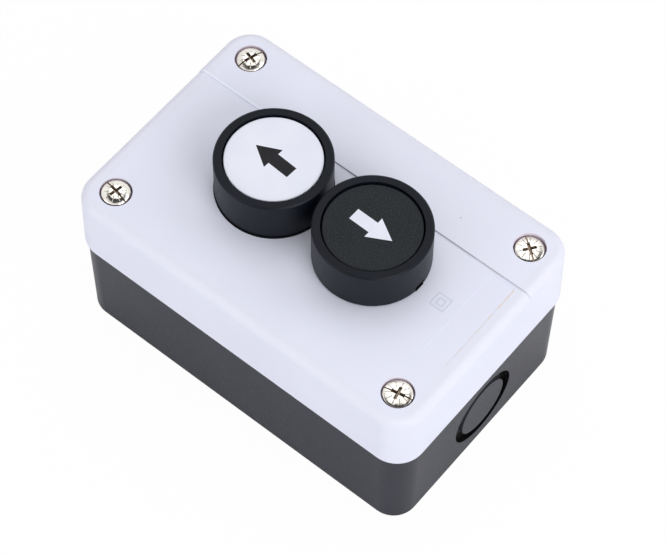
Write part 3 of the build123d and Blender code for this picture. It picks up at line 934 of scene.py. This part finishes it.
def screwWithRecess(rimTop, crown):
    screw = coverScrew
    top = rimTop + crown
    above = top + screw["clearance"]
    head = screwBlank(rimTop, crown)
    slot = bmesh.new()
    cutterBox(slot, screw["slotLength"], screw["slotWidth"], rimTop - screw["slotDepth"], above, 0.0)
    head = cutAway(head, slot)
    for turn in (0.0, math.pi / 2):
        arm = bmesh.new()
        foot = top - screw["armDepth"]
        cutterBox(arm, 2 * screw["armReach"], screw["armWidth"], foot, above, turn, 0.0, screw["armTaper"])
        head = cutAway(head, arm)
    tickLength = screw["tickTo"] - screw["tickFrom"]
    tickMiddle = (screw["tickTo"] + screw["tickFrom"]) / 2
    for number in range(screw["ticks"]):
        tick = bmesh.new()
        turn = math.tau * (number + 0.5) / screw["ticks"]
        cutterBox(tick, tickLength, screw["tickWidth"], top - screw["tickDepth"], above, turn, tickMiddle)
        head = cutAway(head, tick)
    return head


def domeHeight(radius):
    # the crown's height at a radius, as a share of the crown
    dome = coverScrew["dome"]
    for (inner, high), (outer, low) in zip(dome, dome[1:]):
        if radius < outer:
            return high + (low - high) * (radius - inner) / (outer - inner)
    return 0.0


def markShadeAndDirt(head, rimTop, crown):
    # 1 on each corner that lies under the crown's own surface, 0 on the surface
    shadeAndDirt = head.verts.layers.float.new("shadeAndDirt")
    for corner in head.verts:
        surface = rimTop + crown * domeHeight(math.hypot(corner.co.x, corner.co.y))
        corner[shadeAndDirt] = 1.0 if corner.co.z < surface - coverScrew["shadeAndDirtFrom"] else 0.0


def addCoverScrews():
    bm = bmesh.new()
    for x, y, turn, rimTop, crown in coverScrew["places"]:
        head = screwWithRecess(rimTop, crown)
        markShadeAndDirt(head, rimTop, crown)
        place = Matrix.Translation((x, y, 0)) @ Matrix.Rotation(math.radians(turn), 4, "Z")
        bmesh.ops.transform(head, verts=head.verts, matrix=place)
        placed = bpy.data.meshes.new("placed screw")
        head.to_mesh(placed)
        head.free()
        bm.from_mesh(placed)
        bpy.data.meshes.remove(placed)
    piece = addPiece(bm, "cover_screw_set", "screw_steel", "station")
    addSoftEdges(piece, edgeWidth["screw"])
    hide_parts("cover_screws")


addCoverScrews()
print("cover screws cut")


# Springs: round wire with closed end turns

winding = {
    "stepsPerTurn": 36,
    "wireSides": 12,
    "endRise": 1.6,  # what an end turn rises by, in wire radii
}
returnSpring = {
    "radius": 5.9 * mm,
    "wire": 0.4 * mm,
    "bottom": 38.9 * mm,
    "top": 56.8 * mm,
    "turns": 4,
    "keep": 0.76,
}
contactSpring = {
    "radius": 1.25 * mm,
    "wire": 0.15 * mm,
    "bottom": 16.0 * mm,
    "top": 20.4 * mm,
    "turns": 3,
    "keep": 0.61,
}
pusherSpring = {
    "radius": 2.0 * mm,
    "wire": 0.225 * mm,
    "bottom": 4.0 * mm,
    "top": 12.35 * mm,
    "turns": 4,
    "keep": 0.485,
}


def woundWire(spring, centreY):
    # a ring of wire section, wound up in three runs: a flat turn, the open turns and a flat turn
    bm = bmesh.new()
    low = spring["bottom"] + spring["wire"]
    rise = spring["top"] - spring["bottom"] - 2 * spring["wire"]
    endRise = winding["endRise"] * spring["wire"]
    openRise = rise - 2 * endRise
    seat = Matrix.Translation((spring["radius"], centreY, low)) @ Matrix.Rotation(math.pi / 2, 4, "X")
    sides = winding["wireSides"]
    made = bmesh.ops.create_circle(bm, segments=sides, radius=spring["wire"], matrix=seat)["verts"]
    section = made + list({edge for corner in made for edge in corner.link_edges})
    for turns, height in ((1, endRise), (spring["turns"], openRise), (1, endRise)):
        steps = turns * winding["stepsPerTurn"]
        wound = bmesh.ops.spin(
            bm,
            geom=section,
            cent=(0, centreY, 0),
            axis=(0, 0, 1),
            dvec=(0, 0, height / steps),
            angle=turns * math.tau,
            steps=steps,
        )
        section = wound["geom_last"]
    bmesh.ops.holes_fill(bm, edges=[edge for edge in bm.edges if edge.is_boundary], sides=0)
    bmesh.ops.recalc_face_normals(bm, faces=bm.faces)
    return bm


def addSpring(spring, nodeName, body, centreY):
    piece = addPiece(woundWire(spring, centreY), f"{nodeName}_wire", "spring_steel", body)
    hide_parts(nodeName)
    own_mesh(piece)


for head, centreY in heads.items():
    addSpring(returnSpring, f"{head}_return_spring", "station", centreY)
    addSpring(pusherSpring, f"{head}_pusher_spring", "station", centreY)
    addSpring(contactSpring, f"{head}_contact_spring", f"{head}_pusher", centreY)
print("springs wound")


# White table and surroundings, and soft lamps at a plain level

table = {
    "halfWidth": 3.0,
    "height": -0.05 * mm,
    "tone": (245, 245, 246),
    "roughness": 0.8,
    "sheen": 0.1,
    "seenWhite": 0.97,  # how much of it is plain white to the camera, the rest keeps the shadow
}
surroundings = {
    "light": 0.57,  # what the object is lit by from all round
    "sides": 1.0,  # what is seen in gloss, from the horizon up
    "zenith": 0.05,
    "sidesEnd": 0.74,  # heights on a globe of radius 1 between which it darkens
    "zenithStart": 0.88,
}
lamps = {
    "right lamp": {"place": (0.50, -0.50, 0.55), "size": 0.5, "power": 1.0},
    "top lamp": {"place": (0.26, 0.20, 0.84), "size": 0.6, "power": 1.47},
    "left lamp": {"place": (-0.72, 0.30, 0.22), "size": 0.5, "power": 1.4},
    "front lamp": {"place": (-0.22, -0.74, 0.56), "size": 0.5, "power": 3.25},
}
lampTarget = (0, 0, 20 * mm)


def addTable():
    bm = bmesh.new()
    seat = Matrix.Translation((0, 0, table["height"]))
    bmesh.ops.create_grid(bm, x_segments=1, y_segments=1, size=table["halfWidth"], matrix=seat)
    mesh = bpy.data.meshes.new("table")
    bm.to_mesh(mesh)
    bm.free()
    top = bpy.data.objects.new("table", mesh)
    scene.collection.objects.link(top)

    material = bpy.data.materials.new("table_white")
    material.use_nodes = True
    tree = material.node_tree
    shader = tree.nodes["Principled BSDF"]
    shader.inputs["Base Color"].default_value = colourOf(*table["tone"])
    shader.inputs["Roughness"].default_value = table["roughness"]
    shader.inputs["Specular IOR Level"].default_value = table["sheen"]
    white = tree.nodes.new("ShaderNodeEmission")
    white.inputs["Color"].default_value = (1, 1, 1, 1)
    white.inputs["Strength"].default_value = 1.0
    mix = tree.nodes.new("ShaderNodeMixShader")
    path = tree.nodes.new("ShaderNodeLightPath")
    seen = addMath(tree, "MULTIPLY", path.outputs["Is Camera Ray"], table["seenWhite"])
    tree.links.new(seen, mix.inputs["Fac"])
    tree.links.new(shader.outputs["BSDF"], mix.inputs[1])
    tree.links.new(white.outputs["Emission"], mix.inputs[2])
    # from below the table is clear, so that the underside can be looked at
    clear = tree.nodes.new("ShaderNodeBsdfTransparent")
    side = tree.nodes.new("ShaderNodeNewGeometry")
    sides = tree.nodes.new("ShaderNodeMixShader")
    tree.links.new(side.outputs["Backfacing"], sides.inputs["Fac"])
    tree.links.new(mix.outputs["Shader"], sides.inputs[1])
    tree.links.new(clear.outputs["BSDF"], sides.inputs[2])
    tree.links.new(sides.outputs["Shader"], tree.nodes["Material Output"].inputs["Surface"])
    mesh.materials.append(material)


def addSurroundings():
    world = bpy.data.worlds.new("surroundings")
    scene.world = world
    world.use_nodes = True
    tree = world.node_tree
    background = tree.nodes["Background"]
    background.inputs["Color"].default_value = (1, 1, 1, 1)
    direction = tree.nodes.new("ShaderNodeTexCoord").outputs["Generated"]
    seen = addRange(
        tree,
        splitAxes(tree, direction)[2],
        surroundings["sidesEnd"],
        surroundings["zenithStart"],
        surroundings["sides"],
        surroundings["zenith"],
    )
    path = tree.nodes.new("ShaderNodeLightPath")
    # strength: the seen value for gloss, plain white for the camera, the light's own level otherwise
    gloss = addMath(tree, "MAXIMUM", path.outputs["Is Glossy Ray"], path.outputs["Is Transmission Ray"])
    unseen = addMath(tree, "SUBTRACT", 1.0, gloss)
    glossPart = addMath(tree, "MULTIPLY", gloss, seen)
    lightPart = addMath(tree, "MULTIPLY", unseen, surroundings["light"])
    away = addMath(tree, "ADD", glossPart, lightPart)
    strength = addMath(tree, "MAXIMUM", away, path.outputs["Is Camera Ray"])
    tree.links.new(strength, background.inputs["Strength"])


def addLamps():
    for name, lamp in lamps.items():
        data = bpy.data.lights.new(name, "AREA")
        data.shape = "SQUARE"
        data.size = lamp["size"]
        data.energy = lamp["power"]
        light = bpy.data.objects.new(name, data)
        light.location = lamp["place"]
        aim = Vector(lampTarget) - Vector(lamp["place"])
        light.rotation_mode = "QUATERNION"
        light.rotation_quaternion = aim.to_track_quat("-Z", "Y")
        scene.collection.objects.link(light)


addTable()
addSurroundings()
addLamps()
print("table and lamps set")
